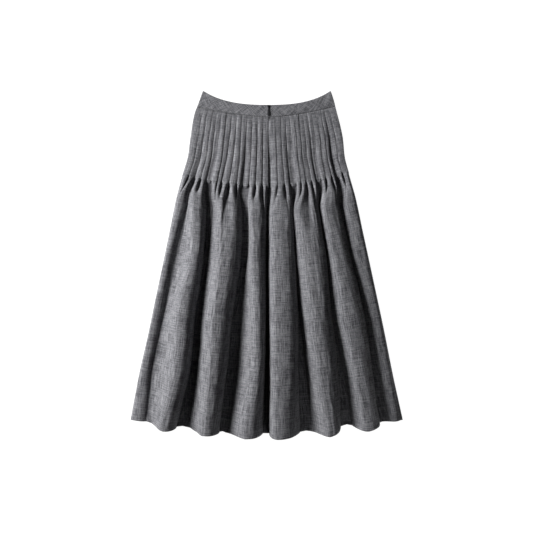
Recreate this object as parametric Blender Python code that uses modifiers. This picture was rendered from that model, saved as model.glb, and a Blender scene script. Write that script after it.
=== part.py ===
"""Full skirt with a tucked hip yoke, laid flat with its back upwards.

The skirt lies on its front. The waist points to +Y, the hem to -Y, and the underside of the
front panel is the plane z = 0. Lengths in the tables are millimetres. "down" is the distance
from the waist's top edge at the centre back towards the hem, and "across" is measured from the
centre line, negative to the left as the back is seen.
"""

import math

import bmesh
import bpy

MM = 0.001

# Driving sizes, in millimetres.
GAP = 0.3
WALL = 1.3
FRONT_WALL = 2.0
BAND_WALL = 2.6
FRONT_BAND_WALL = 3.0
BAND_SEAM = 30.5
RELEASE = 202.0
HEM = 819.0
FRONT_INSET = 1.5
FRONT_HEM_SHORT = 4.0
SLIT_HALF = 1.5
SLIT_END = 200.0
SEAM_FLAT = 2.0
SLIT_CLOSING = 12.0
HALF_YOKE = 110.0
BAND_STEP = 1.0
BAND_STEP_LENGTH = 30.0
TUCKS = 14
STEPS_PER_TUCK = 4
COLUMNS = TUCKS * STEPS_PER_TUCK
FLOOR_OF_BACK = FRONT_WALL + GAP
FLOOR_OF_BAND = FRONT_BAND_WALL + GAP

# Rows of the back panels, as distances down the centre line.
LEVELS = (
    [BAND_SEAM + GAP, 46, 77, 112, 147, 177, RELEASE, 209, 217, 227, 240, 257, 281]
    + [315, 362, 424, 499, 587, 674, 740, 785, HEM]
)

# The side edges: down, left edge across, right edge across.
EDGES = [
    (-35, -162, 156),
    (-7, -172, 165),
    (14, -180, 170),
    (79, -192, 185),
    (139, -201, 192),
    (165, -209, 199),
    (226, -226, 216),
    (319, -245, 236),
    (439, -270, 262),
    (559, -295, 288),
    (679, -322, 312),
    (786, -342, 336),
]

# How far a level line rises from the centre to the sides:
# down, rise at the left edge, rise at the right edge, power of the curve.
SAG = [
    (0, 35.2, 35.2, 2.5),
    (BAND_SEAM, 26.5, 26.5, 1.5),
    (RELEASE, 26.0, 36.0, 2.0),
    (HEM, 33.5, 33.5, 2.0),
]

# The centre back seam: down, across.
SEAM = [(0, 1.2), (202, 1.5), (249, 1.0), (362, 0.0), (512, 0.0), (662, 2.5), (799, 4.0)]

# A row for each tuck from left to right: width half way down the yoke, width at the release.
LEFT_TUCKS = [
    (15.0, 10.0),
    (12.5, 17.5),
    (12.5, 16.2),
    (12.5, 13.8),
    (15.0, 12.5),
    (12.5, 12.5),
    (12.5, 12.5),
    (15.0, 18.8),
    (17.5, 20.0),
    (15.0, 13.8),
    (12.5, 16.2),
    (15.0, 15.0),
    (17.5, 18.8),
    (15.0, 17.5),
]
RIGHT_TUCKS = [
    (20.8, 20.0),
    (11.7, 18.8),
    (13.0, 17.5),
    (13.3, 18.8),
    (10.8, 13.8),
    (9.2, 15.0),
    (10.0, 12.5),
    (10.0, 11.2),
    (10.0, 10.0),
    (10.0, 12.5),
    (17.5, 12.5),
    (15.0, 20.0),
    (21.0, 13.8),
    (17.8, 11.2),
]

# Height of a tuck's two stitched grooves and of its crest over the floor of the back:
# down, groove, crest.
TUCK_HEIGHTS = [
    (BAND_SEAM, 1.0, 1.8),
    (50, 1.0, 3.2),
    (110, 1.1, 5.2),
    (177, 1.2, 6.6),
    (RELEASE, 1.0, 8.0),
    (212, 0.2, 10.5),
    (224, 0.0, 11.5),
    (262, 0.0, 6.0),
    (300, 0.0, 3.0),
]
TUCK_ROUNDNESS = 0.75

# Where each fold starts, peaks and ends, in steps across the half panel.
LEFT_STEPS = [(0, 2, 4), (5, 9, 15), (23, 32, 38), (43, 49, 55)]
RIGHT_STEPS = [(1, 6, 11), (13, 23, 30), (32, 38, 43), (48, 52, 56)]

# The folds at five distances down: a row for each fold, as left foot across, crest across,
# right foot across, height of the crest.
LEFT_FOLDS = [
    (249, [(-231, -219, -205, 9), (-197, -174, -154, 15), (-132, -93, -60, 18), (-50, -28, -6, 15)]),
    (362, [(-254, -244, -231, 10), (-218, -188, -159, 25), (-144, -104, -67, 29), (-46, -26, -6, 25)]),
    (512, [(-285, -278, -269, 9), (-252, -216, -183, 35), (-155, -120, -88, 39), (-56, -31, -6, 36)]),
    (662, [(-318, -310, -300, 6), (-277, -233, -198, 42), (-170, -139, -112, 46), (-69, -38, -5, 46)]),
    (799, [(-342, -328, -308, 2), (-286, -248, -219, 47), (-186, -146, -114, 50), (-95, -49, -4, 52)]),
]
RIGHT_FOLDS = [
    (249, [(5, 27, 56, 16), (62, 101, 125, 18), (130, 150, 172, 15), (187, 206, 221, 12)]),
    (362, [(4, 25, 62, 29), (67, 104, 137, 29), (143, 167, 194, 25), (208, 228, 245, 18)]),
    (512, [(4, 26, 72, 40), (84, 118, 152, 41), (162, 188, 218, 35), (238, 258, 278, 22)]),
    (662, [(7, 28, 73, 48), (102, 133, 162, 48), (189, 216, 248, 42), (265, 285, 308, 15)]),
    (799, [(9, 30, 80, 54), (110, 146, 177, 54), (212, 240, 275, 48), (290, 305, 336, 2)]),
]
LEAN_LEFT = 0.13
LEAN_RIGHT = 0.24
STEEP_FROM = 0.9

# How fast the tucks open below the release, in millimetres: a fold's, and a valley's.
OPENING_FOLD = 85.0
OPENING_VALLEY = 45.0
OPENING_RAMP = 4.0

# How far the hem rises in the valleys and dips on the crests: step across, rise.
LEFT_HEM = [(0, 0), (4, 3), (9, -4), (18, 5), (32, -4), (40, 1), (49, -4), (56, 0)]
RIGHT_HEM = [(0, 0), (6, -4), (12, 4), (23, -4), (31, 11), (38, -4), (46, 5), (52, 1), (56, 0)]
HEM_RISE_FROM = 690.0

# The front panel's and the waistband's divisions.
FRONT_ACROSS = 26
FRONT_LEVELS = [BAND_SEAM + GAP, 80, 140, 200, 290, 400, 520, 640, 740, HEM]
BAND_ACROSS = 12
BAND_UP = 4
BAND_CROWN = 0.5
FRONT_BAND_INSET = 1.0

# The zip, in millimetres.
COIL_HALF = 1.1
COIL_LOW = 3.3
COIL_HIGH = 4.7
COIL_TOP_EDGE = 3.0
COIL_STEPS = 9
HINGE_DOWN = 4.0
HINGE_HIGH = 7.8
SLIDER_TOP_EDGE = 0.8
SLIDER_LENGTH = 7.4
SLIDER_HALF = 3.0
SLIDER_TIP_HALF = 1.7
PLATE_LOW = 6.3
PLATE_HIGH = 6.95
STEM_HALF = 1.1
STEM_LOW = 5.0
BAIL_INNER = 1.1
BAIL_OUTER = 1.95
BAIL_HALF_WIDTH = 0.7
BAIL_STEPS = 10
TAB_THICK = 1.0
TAB_BAR = 0.55
TAB_EYE_END = 2.7
TAB_EYE_HALF = 1.3
SLIDER_TAPER = 2.5
STEM_INSET = 0.8
SUNK = 0.2
# The tab's half outline: distance from its hinge, half width.
TAB_OUTLINE = [
    (-TAB_BAR, 1.9),
    (TAB_EYE_END, 2.2),
    (6.0, 2.3),
    (11.0, 2.9),
    (16.0, 3.4),
    (19.5, 3.3),
    (22.5, 2.4),
    (24.5, 1.1),
]


def look_up(rows, at, column):
    """The value of a column of a table at a place between its rows, on straight lines."""
    if at <= rows[0][0]:
        return rows[0][column]
    for low, high in zip(rows, rows[1:]):
        if at <= high[0]:
            share = (at - low[0]) / (high[0] - low[0])
            return low[column] + (high[column] - low[column]) * share
    return rows[-1][column]


def ease(share):
    """0 to 1 with a soft start and end."""
    share = min(1.0, max(0.0, share))
    return share * share * (3.0 - 2.0 * share)


def edge_across(side, down):
    return look_up(EDGES, down, 1 if side < 0 else 2)


def seam_across(down):
    return look_up(SEAM, down, 1)


def rise(side, level, share):
    """How far up a point lies from its level at the centre line."""
    power = look_up(SAG, level, 3)
    return look_up(SAG, level, 1 if side < 0 else 2) * abs(share) ** power


def tuck_edges(side, down_share):
    """The tucks' edges as shares of the half panel's width, from the left."""
    tucks = LEFT_TUCKS if side < 0 else RIGHT_TUCKS
    widths = [yoke + (release - yoke) * down_share for yoke, release in tucks]
    total = sum(widths)
    edges = [0.0]
    for width in widths:
        edges.append(edges[-1] + width / total)
    return edges


def tuck_point(side, step, level, down):
    """Across and height of a point of the tucked yoke."""
    lower = min(1.0, max(0.0, (level - HALF_YOKE) / (RELEASE - HALF_YOKE)))
    edges = tuck_edges(side, lower)
    tuck = min(TUCKS - 1, int(step // STEPS_PER_TUCK))
    share = step / STEPS_PER_TUCK - tuck
    along = edges[tuck] + (edges[tuck + 1] - edges[tuck]) * share
    seam = seam_across(down) + side * (slit_half(level) + SEAM_FLAT)
    edge = edge_across(side, down)
    left, right = (edge, seam) if side < 0 else (seam, edge)
    groove = look_up(TUCK_HEIGHTS, level, 1)
    crest = look_up(TUCK_HEIGHTS, level, 2)
    bulge = math.sin(math.pi * share) ** TUCK_ROUNDNESS if 0.0 < share < 1.0 else 0.0
    return left + (right - left) * along, groove + (crest - groove) * bulge


def slit_half(level):
    """Half the slit's width, which holds the zip above the release and closes below it."""
    return SLIT_HALF + (GAP / 2 - SLIT_HALF) * ease((level - SLIT_END) / SLIT_CLOSING)


def fold_rows(side, down):
    """The folds' feet, crests and heights at a distance down."""
    stations = LEFT_FOLDS if side < 0 else RIGHT_FOLDS
    rows = []
    for fold in range(len(stations[0][1])):
        columns = []
        for column in range(4):
            line = [(place, folds[fold][column]) for place, folds in stations]
            columns.append(look_up(line, down, 1))
        rows.append(columns)
    return rows


def flank(foot, crest, height, share, lean):
    """A fold's flank from its foot to its crest, which leans out past the foot with more lean."""
    steep = min(1.0, height / (STEEP_FROM * abs(crest - foot)))
    forward = share + lean * steep * math.sin(2.0 * math.pi * share)
    return foot + (crest - foot) * forward, height * (1.0 - math.cos(math.pi * share)) / 2.0


def fold_point(side, step, level, down):
    """Across and height of a point of the free folds."""
    steps = LEFT_STEPS if side < 0 else RIGHT_STEPS
    rows = fold_rows(side, down)
    seam = seam_across(down) + side * (slit_half(level) + SEAM_FLAT)
    edge = edge_across(side, down)
    before = (0, edge if side < 0 else seam)
    last = (COLUMNS, seam if side < 0 else edge)
    for (start, peak, end), (foot, crest, far_foot, height) in zip(steps, rows):
        foot = before[1] if start == before[0] else foot
        far_foot = last[1] if end == last[0] else far_foot
        if step < start:
            share = (step - before[0]) / (start - before[0])
            return before[1] + (foot - before[1]) * share, 0.0
        if step <= peak:
            return flank(foot, crest, height, (step - start) / (peak - start), LEAN_LEFT)
        if step <= end:
            return flank(far_foot, crest, height, (end - step) / (end - peak), LEAN_RIGHT)
        before = (end, far_foot)
    share = (step - before[0]) / (last[0] - before[0])
    return before[1] + (last[1] - before[1]) * share, 0.0


def opening_length(side, step):
    """How far below the release a point needs to pass from its tuck to its fold."""
    for start, peak, end in LEFT_STEPS if side < 0 else RIGHT_STEPS:
        if start <= step <= end:
            inside = min(step - start, end - step) / OPENING_RAMP
            return OPENING_VALLEY + (OPENING_FOLD - OPENING_VALLEY) * ease(inside)
    return OPENING_VALLEY


def hem_rise(side, step, level):
    share = max(0.0, level - HEM_RISE_FROM) / (HEM - HEM_RISE_FROM)
    return look_up(LEFT_HEM if side < 0 else RIGHT_HEM, step, 1) * share * share


def panel_point(side, step, level):
    """A point of a back panel's inner surface: across, down and height, in millimetres."""
    down = level
    across = 0.0
    height = 0.0
    opened = ease((level - RELEASE) / opening_length(side, step))
    for _ in range(4):
        across, height = tuck_point(side, step, level, down)
        if opened > 0.0:
            fold_across, fold_height = fold_point(side, step, level, down)
            across += (fold_across - across) * opened
            height += (fold_height - height) * opened
        half = abs(edge_across(side, down) - seam_across(down))
        share = min(1.0, abs(across - seam_across(down)) / half)
        down = level - rise(side, level, share) - hem_rise(side, step, level)
    return across, down, FLOOR_OF_BACK + height + band_lift(level)


def band_lift(level):
    """Right under the waistband the panel rises to the height of the band's lower layer."""
    under = FLOOR_OF_BAND - FLOOR_OF_BACK - BAND_STEP
    return under * (1.0 - ease((level - BAND_SEAM) / BAND_STEP_LENGTH))


def level_point(share, level):
    """A point across and down on a level line, share from -1 at the left to 1 at the right."""
    side = -1 if share < 0.0 else 1
    down = level
    for _ in range(4):
        down = level - rise(side, level, share)
    seam = seam_across(down)
    return seam + (edge_across(side, down) - seam) * abs(share), down


def front_hem_rise(across):
    """The front's hem follows the back's valleys, so that it stays hidden."""
    troughs = []
    for side, steps, rises in ((-1, LEFT_STEPS, LEFT_HEM), (1, RIGHT_STEPS, RIGHT_HEM)):
        for step, up in rises:
            if up >= 0:
                troughs.append((fold_point(side, step, HEM, HEM)[0], up))
    troughs.sort()
    return look_up(troughs, across, 1)


def place(across, down, height):
    return (across * MM, -down * MM, height * MM)


def material(name, colour, roughness, metallic=0.0):
    made = bpy.data.materials.new(name)
    made.use_nodes = True
    shader = made.node_tree.nodes["Principled BSDF"]
    shader.inputs["Base Color"].default_value = (*colour, 1.0)
    shader.inputs["Roughness"].default_value = roughness
    shader.inputs["Metallic"].default_value = metallic
    made.diffuse_color = (*colour, 1.0)
    return made


def add_object(name, points, faces, skin):
    mesh = bpy.data.meshes.new(name)
    mesh.from_pydata(points, [], faces)
    mesh.update()
    shape = bmesh.new()
    shape.from_mesh(mesh)
    bmesh.ops.recalc_face_normals(shape, faces=shape.faces)
    shape.to_mesh(mesh)
    shape.free()
    mesh.materials.append(skin)
    made = bpy.data.objects.new(name, mesh)
    GARMENT.objects.link(made)
    return made


def grid_faces(rows, columns):
    """Faces of a grid of points, turned so that they look up."""
    faces = []
    for row in range(rows - 1):
        for column in range(columns - 1):
            a = row * columns + column
            faces.append((a, a + columns, a + columns + 1, a + 1))
    return faces


def sheet(name, rows, wall, skin):
    """An open surface of points in millimetres, given its wall upwards."""
    points = [place(*point) for row in rows for point in row]
    mesh = bpy.data.meshes.new(name)
    mesh.from_pydata(points, [], grid_faces(len(rows), len(rows[0])))
    mesh.materials.append(skin)
    made = bpy.data.objects.new(name, mesh)
    GARMENT.objects.link(made)
    thick = made.modifiers.new("wall", "SOLIDIFY")
    thick.thickness = wall * MM
    thick.offset = 1.0
    return made


def prism(name, outline, low, high, skin):
    """A closed outline of across and down, raised from low to high."""
    count = len(outline)
    points = [place(x, y, low) for x, y in outline] + [place(x, y, high) for x, y in outline]
    faces = [tuple(range(count)), tuple(range(2 * count - 1, count - 1, -1))]
    for i in range(count):
        j = (i + 1) % count
        faces.append((i, j, count + j, count + i))
    return add_object(name, points, faces, skin)


def back_panel(name, side):
    """Half of the back, which ends in a flat strip along the centre back seam."""
    rows = []
    for level in LEVELS:
        row = [panel_point(side, step, level) for step in range(COLUMNS + 1)]
        seam = row[-1] if side < 0 else row[0]
        edge = (seam_across(seam[1]) + side * slit_half(level), seam[1], seam[2])
        rows.append(row + [edge] if side < 0 else [edge] + row)
    return sheet(name, rows, WALL, CLOTH)


def front_panel():
    rows = []
    for level in FRONT_LEVELS:
        row = []
        for i in range(FRONT_ACROSS + 1):
            share = -1.0 + 2.0 * i / FRONT_ACROSS
            across, down = level_point(share, level)
            across -= FRONT_INSET * share
            short = (level - HEM_RISE_FROM) / (HEM - HEM_RISE_FROM)
            if short > 0.0:
                down -= (FRONT_HEM_SHORT + front_hem_rise(across)) * short
            row.append((across, down, 0.0))
        rows.append(row)
    return sheet("front_panel", rows, FRONT_WALL, CLOTH)


def band(name, start, end, low, wall, inset, crown):
    """A piece of the waistband between two shares of the width."""
    rows = []
    for i in range(BAND_UP + 1):
        up = i / BAND_UP
        row = []
        for j in range(BAND_ACROSS + 1):
            share = start + (end - start) * j / BAND_ACROSS
            across, down = level_point(share, BAND_SEAM * up)
            across -= inset * share
            if abs(share) < 1e-6:
                across += (1 if start + end > 0.0 else -1) * SLIT_HALF
            row.append((across, down, low + crown * math.sin(math.pi * up)))
        rows.append(row)
    return sheet(name, rows, wall, CLOTH)


def zip_coil():
    """The closed coil, a narrow strip in the slit."""
    rows = []
    for i in range(COIL_STEPS + 1):
        down = COIL_TOP_EDGE + (SLIT_END - COIL_TOP_EDGE - GAP) * i / COIL_STEPS
        middle = seam_across(down)
        rows.append([(middle + COIL_HALF * j, down, COIL_LOW) for j in (-1, 0, 1)])
    return sheet("zip_coil", rows, COIL_HIGH - COIL_LOW, METAL)


def zip_slider():
    """The slider: a stem in the slit, a plate over the band and a bail that holds the tab."""
    middle = seam_across(0.0)
    end = SLIDER_TOP_EDGE + SLIDER_LENGTH
    plate = [
        (middle - SLIDER_HALF, SLIDER_TOP_EDGE),
        (middle + SLIDER_HALF, SLIDER_TOP_EDGE),
        (middle + SLIDER_HALF, end - SLIDER_TAPER),
        (middle + SLIDER_TIP_HALF, end),
        (middle - SLIDER_TIP_HALF, end),
        (middle - SLIDER_HALF, end - SLIDER_TAPER),
    ]
    body = prism("zip_slider", plate, PLATE_LOW, PLATE_HIGH, METAL)
    stem = [
        (middle - STEM_HALF, SLIDER_TOP_EDGE + STEM_INSET),
        (middle + STEM_HALF, SLIDER_TOP_EDGE + STEM_INSET),
        (middle + STEM_HALF, end - STEM_INSET),
        (middle - STEM_HALF, end - STEM_INSET),
    ]
    join(body, prism("stem", stem, STEM_LOW, PLATE_LOW + SUNK, METAL))
    join(body, bail(middle))
    return body


def bail(middle):
    """A half ring over the hinge line with two legs that run into the plate."""
    angles = [math.pi * i / BAIL_STEPS for i in range(BAIL_STEPS + 1)]
    foot = PLATE_HIGH - SUNK
    profile = [(HINGE_DOWN + BAIL_OUTER, foot)]
    for angle in angles:
        profile.append(ring_point(angle, BAIL_OUTER))
    profile.append((HINGE_DOWN - BAIL_OUTER, foot))
    profile.append((HINGE_DOWN - BAIL_INNER, foot))
    for angle in reversed(angles):
        profile.append(ring_point(angle, BAIL_INNER))
    profile.append((HINGE_DOWN + BAIL_INNER, foot))
    count = len(profile)
    points = []
    for half in (-BAIL_HALF_WIDTH, BAIL_HALF_WIDTH):
        points += [place(middle + half, down, high) for down, high in profile]
    faces = [tuple(range(count)), tuple(range(2 * count - 1, count - 1, -1))]
    for i in range(count):
        j = (i + 1) % count
        faces.append((i, j, count + j, count + i))
    return add_object("bail", points, faces, METAL)


def ring_point(angle, radius):
    return HINGE_DOWN + radius * math.cos(angle), HINGE_HIGH + radius * math.sin(angle)


def join(body, extra):
    """Melts an extra solid into a body."""
    melt = body.modifiers.new(extra.name, "BOOLEAN")
    melt.operation = "UNION"
    melt.solver = "EXACT"
    melt.object = extra
    bake(body)
    bpy.data.objects.remove(extra, do_unlink=True)


def bake(body):
    graph = bpy.context.evaluated_depsgraph_get()
    done = bpy.data.meshes.new_from_object(body.evaluated_get(graph))
    body.modifiers.clear()
    body.data = done


def zip_pull_tab():
    """A flat teardrop with an eye whose upper bar turns under the bail."""
    middle = seam_across(0.0)
    right = [(middle + half, HINGE_DOWN + along) for along, half in TAB_OUTLINE]
    left = [(middle - half, HINGE_DOWN + along) for along, half in reversed(TAB_OUTLINE)]
    low = HINGE_HIGH - TAB_THICK / 2
    tab = prism("zip_pull_tab", right + left, low, low + TAB_THICK, METAL)
    eye = [
        (middle - TAB_EYE_HALF, HINGE_DOWN + TAB_BAR),
        (middle + TAB_EYE_HALF, HINGE_DOWN + TAB_BAR),
        (middle + TAB_EYE_HALF, HINGE_DOWN + TAB_EYE_END),
        (middle - TAB_EYE_HALF, HINGE_DOWN + TAB_EYE_END),
    ]
    hole = prism("eye", eye, low - TAB_THICK, low + 2.0 * TAB_THICK, METAL)
    cut = tab.modifiers.new("eye", "BOOLEAN")
    cut.operation = "DIFFERENCE"
    cut.solver = "EXACT"
    cut.object = hole
    bake(tab)
    bpy.data.objects.remove(hole, do_unlink=True)
    return tab


def settle(pieces):
    """Moves all pieces so that the origin is under the middle of their box, on the floor."""
    graph = bpy.context.evaluated_depsgraph_get()
    low = [math.inf] * 3
    high = [-math.inf] * 3
    for piece in pieces:
        for vertex in piece.evaluated_get(graph).data.vertices:
            for axis in range(3):
                low[axis] = min(low[axis], vertex.co[axis])
                high[axis] = max(high[axis], vertex.co[axis])
    shift = (-(low[0] + high[0]) / 2, -(low[1] + high[1]) / 2, -low[2])
    for piece in pieces:
        for vertex in piece.data.vertices:
            for axis in range(3):
                vertex.co[axis] += shift[axis]
    print("box", [round(h - l, 5) for l, h in zip(low, high)], "shift", [round(s, 6) for s in shift])
    return shift


for old in list(bpy.data.objects):
    bpy.data.objects.remove(old, do_unlink=True)

GARMENT = bpy.data.collections.new("full_skirt")
bpy.context.scene.collection.children.link(GARMENT)
CLOTH = material("heathered_cloth", (0.105, 0.105, 0.113), 0.92)
METAL = material("zip_metal", (0.05, 0.05, 0.055), 0.42, 0.7)

back_panel("back_panel_left", -1)
back_panel("back_panel_right", 1)
front_panel()
band("front_waistband", -1.0, 1.0, 0.0, FRONT_BAND_WALL, FRONT_BAND_INSET, 0.0)
band("back_waistband_left", -1.0, 0.0, FLOOR_OF_BAND, BAND_WALL, 0.0, BAND_CROWN)
band("back_waistband_right", 0.0, 1.0, FLOOR_OF_BAND, BAND_WALL, 0.0, BAND_CROWN)
zip_coil()
zip_slider()
pull = zip_pull_tab()

moved = settle(list(GARMENT.objects))
hinge = place(seam_across(0.0), HINGE_DOWN, HINGE_HIGH)
print("tab hinge", [round(h + m, 6) for h, m in zip(hinge, moved)])
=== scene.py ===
# %% [markdown]
# # A long full skirt, laid flat with its back up
# The real skirt is cut from a slubby charcoal suiting. A straight waistband holds twenty-eight
# narrow tucks, stitched down over the hips, which open into deep soft folds that run to the hem.
# This script loads the solid model as a fixed frame and puts the finished cloth over it.
# Each step says what the piece is, how it could be made in Blender, and why one way was chosen.

# %% Load the frame
import math

import bmesh
import bpy
import numpy as np
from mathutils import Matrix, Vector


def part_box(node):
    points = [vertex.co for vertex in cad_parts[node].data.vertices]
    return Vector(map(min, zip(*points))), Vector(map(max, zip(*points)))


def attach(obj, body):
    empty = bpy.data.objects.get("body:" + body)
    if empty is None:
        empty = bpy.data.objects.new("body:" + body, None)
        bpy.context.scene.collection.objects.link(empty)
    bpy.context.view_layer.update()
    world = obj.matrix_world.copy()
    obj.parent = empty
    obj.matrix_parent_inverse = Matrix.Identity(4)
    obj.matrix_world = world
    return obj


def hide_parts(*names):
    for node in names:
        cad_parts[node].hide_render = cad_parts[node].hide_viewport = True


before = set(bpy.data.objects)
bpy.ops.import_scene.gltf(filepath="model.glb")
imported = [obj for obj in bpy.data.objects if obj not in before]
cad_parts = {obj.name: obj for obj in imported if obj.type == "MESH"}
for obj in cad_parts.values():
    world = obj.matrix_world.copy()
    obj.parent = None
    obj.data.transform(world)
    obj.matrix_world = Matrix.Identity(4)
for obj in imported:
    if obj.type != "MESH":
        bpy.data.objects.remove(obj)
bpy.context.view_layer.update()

# Millimetres to metres.
MM = 0.001

# %% [markdown]
# ## Where the tables' zero lies
# All lengths in the tables are millimetres on the cloth as it lies: "down" from the waist's top
# edge at the centre back, and "across" from the centre line. The frame's origin is under the
# middle of the box instead, so the zip coil, whose place in both is known, gives the offset.

# %% Find the offset from the zip coil
COIL_TOP_DOWN = 3.0
COIL_LEFT_ACROSS = 0.1
coil_low, coil_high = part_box("zip_coil")
SHIFT_X = coil_low[0] - COIL_LEFT_ACROSS * MM
SHIFT_Y = coil_high[1] + COIL_TOP_DOWN * MM


def to_frame(across, down, high):
    """Table millimetres to metres in the frame, for arrays of any shape."""
    across, down, high = np.broadcast_arrays(across, down, high)
    return np.stack([across * MM + SHIFT_X, SHIFT_Y - down * MM, high * MM], axis=-1)


def put_in_scene(name, data):
    """A new object with this data, linked to the scene."""
    made = bpy.data.objects.new(name, data)
    bpy.context.scene.collection.objects.link(made)
    return made


print("offset", round(SHIFT_X, 5), round(SHIFT_Y, 5))

# %% [markdown]
# ## Camera and light
# The skirt was photographed lying flat from straight above. A camera 1.7 m up gives the crests
# of the folds, which are nearer to it, the small dip past the hem that a real lens gives. The
# light is a big soft source low on the left, so that each fold has a bright left flank and a
# dark right one. A brighter world would wash the valleys out, so the world is dim and a small
# lamp on the hem's side lifts them a little. Only the camera sees white all round.

# %% Camera
CAMERA_HIGH = 1.7
# Metres of the surface that the picture's width shows.
PICTURE_WIDTH = 1.3325
SENSOR_WIDTH = 36.0
# The middle of the picture, in millimetres on the cloth.
CAMERA_ACROSS = -3.75
CAMERA_DOWN = 403.0
lens = bpy.data.cameras.new("camera")
lens.sensor_width = SENSOR_WIDTH
lens.lens = SENSOR_WIDTH * CAMERA_HIGH / PICTURE_WIDTH
camera = put_in_scene("camera", lens)
camera.location = (CAMERA_ACROSS * MM + SHIFT_X, SHIFT_Y - CAMERA_DOWN * MM, CAMERA_HIGH)
bpy.context.scene.camera = camera
bpy.context.scene.view_settings.view_transform = "Standard"
print("lens", round(lens.lens, 1), "mm")

# %% Low soft light from the left, and a small fill
WINDOW_FROM = (-1.75, 0.55, 0.95)
WINDOW_AT = (0.0, 0.0, 0.0)
WINDOW_SIZE = 0.9
WINDOW_POWER = 110.0
FILL_FROM = (0.35, -0.85, 0.42)
FILL_AT = (0.35, 0.0, 0.0)
FILL_SIZE = 0.35
FILL_POWER = 0.8


def round_lamp(name, place, target, size, power):
    """A round soft lamp at a place, turned towards a target."""
    light = bpy.data.lights.new(name, "AREA")
    light.shape = "DISK"
    light.size = size
    light.energy = power
    lamp = put_in_scene(name, light)
    lamp.location = place
    aim = np.subtract(target, place)
    tilt = math.atan2(math.hypot(aim[0], aim[1]), -aim[2])
    lamp.rotation_euler = (tilt, 0.0, math.atan2(aim[1], aim[0]) - math.pi / 2)
    return lamp


round_lamp("window", WINDOW_FROM, WINDOW_AT, WINDOW_SIZE, WINDOW_POWER)
fill = round_lamp("fill", FILL_FROM, FILL_AT, FILL_SIZE, FILL_POWER)
fill.visible_camera = False
print("light from", WINDOW_FROM, "and", FILL_FROM)

# %% Dim world, white behind
WHITE = (1.0, 1.0, 1.0, 1.0)
WORLD_LIGHT = 0.017
world = bpy.data.worlds.new("studio")
world.use_nodes = True
around = world.node_tree
dim = around.nodes["Background"]
dim.inputs["Color"].default_value = WHITE
dim.inputs["Strength"].default_value = WORLD_LIGHT
paper = around.nodes.new("ShaderNodeBackground")
paper.inputs["Color"].default_value = WHITE
paper.inputs["Strength"].default_value = 1.0
rays = around.nodes.new("ShaderNodeLightPath")
choice = around.nodes.new("ShaderNodeMixShader")
around.links.new(rays.outputs["Is Camera Ray"], choice.inputs[0])
around.links.new(dim.outputs[0], choice.inputs[1])
around.links.new(paper.outputs[0], choice.inputs[2])
around.links.new(choice.outputs[0], around.nodes["World Output"].inputs[0])
bpy.context.scene.world = world
print("world light", WORLD_LIGHT)

# %% [markdown]
# ## The shape's tables
# A draped or simulated cloth would never fall the way this one was dressed, so the folds are
# read from the picture as short tables and everything between them is worked out. The curve
# of the level lines and the order and steps of the tucks and folds are those of the solids;
# the exact places and heights of feet and crests follow the picture more closely.

# %% Sizes and outline
# Levels, measured down the centre line: the band's lower edge, the end of the stitched tucks,
# and the hem.
BAND_SEAM = 30.5
RELEASE = 202.0
HEM = 819.0
# Gaps between pieces at their seams, and how high the back and its band lie over the floor.
GAP = 0.3
SEAM_GAP_HALF = 0.3
FLOOR_OF_BACK = 2.3
FLOOR_OF_BAND = 3.3
# The flat strip between the last column of the tucks and the seam's edge.
SEAM_FLAT = 2.0
# Half a panel has fourteen tucks, and its columns are counted in steps, four to a tuck.
TUCKS = 14
STEPS_PER_TUCK = 4
LAST_STEP = TUCKS * STEPS_PER_TUCK

# Down, left edge across, right edge across.
EDGES = np.array([
    (-35, -162, 156),
    (-7, -172, 165),
    (14, -180, 170),
    (79, -192, 185),
    (139, -201, 192),
    (165, -209, 199),
    (226, -226, 216),
    (319, -245, 236),
    (439, -270, 262),
    (559, -295, 288),
    (679, -322, 312),
    (786, -342, 336),
], float)

# Down, rise of a level line at the left edge, at the right edge, power of its curve.
SAG = np.array([
    (0, 35.2, 35.2, 2.5),
    (BAND_SEAM, 26.5, 26.5, 1.5),
    (RELEASE, 26.0, 36.0, 2.0),
    (HEM, 33.5, 33.5, 2.0),
], float)

# Down and across, of the centre back seam.
SEAM = np.array([
    (0, 1.2),
    (202, 1.5),
    (249, 1.0),
    (362, 0.0),
    (512, 0.0),
    (662, 2.5),
    (799, 4.0),
], float)
print("half widths at the hem", EDGES[-1, 1:])

# %% Tucks and folds
# A row for each tuck from left to right: width in the yoke, width at the release, how much it
# leans, and then about the line on its left: how marked it is, how deep the small eye under its
# last stitch is, how deep the soft crease that runs on from it is, and how long that crease is.
LEFT_TUCKS = np.array([
    (20.0, 16.0, 0.3, 1.0, 0.0, 0.0, 30),
    (13.3, 16.2, 0.6, 0.6, 3.0, 1.5, 40),
    (14.0, 15.6, -0.6, 0.8, 7.0, 0.0, 30),
    (11.3, 14.5, -0.7, 0.7, 7.0, 3.0, 45),
    (13.3, 12.4, -0.8, 1.0, 2.0, 0.0, 30),
    (12.0, 15.0, 0.6, 0.6, 6.0, 0.0, 30),
    (14.8, 10.0, -0.5, 0.7, 1.0, 0.0, 30),
    (13.0, 18.8, 0.6, 1.2, 6.0, 2.0, 40),
    (13.3, 19.5, -0.2, 1.2, 8.0, 7.5, 150),
    (13.8, 13.0, -0.6, 0.8, 7.0, 2.0, 40),
    (13.5, 16.3, -0.5, 0.7, 5.0, 0.0, 30),
    (13.5, 15.3, 0.6, 1.1, 6.0, 0.0, 30),
    (14.5, 17.5, 0.1, 1.2, 6.0, 2.0, 35),
    (11.0, 12.0, -0.5, 1.1, 8.0, 6.0, 90),
], float)
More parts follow.
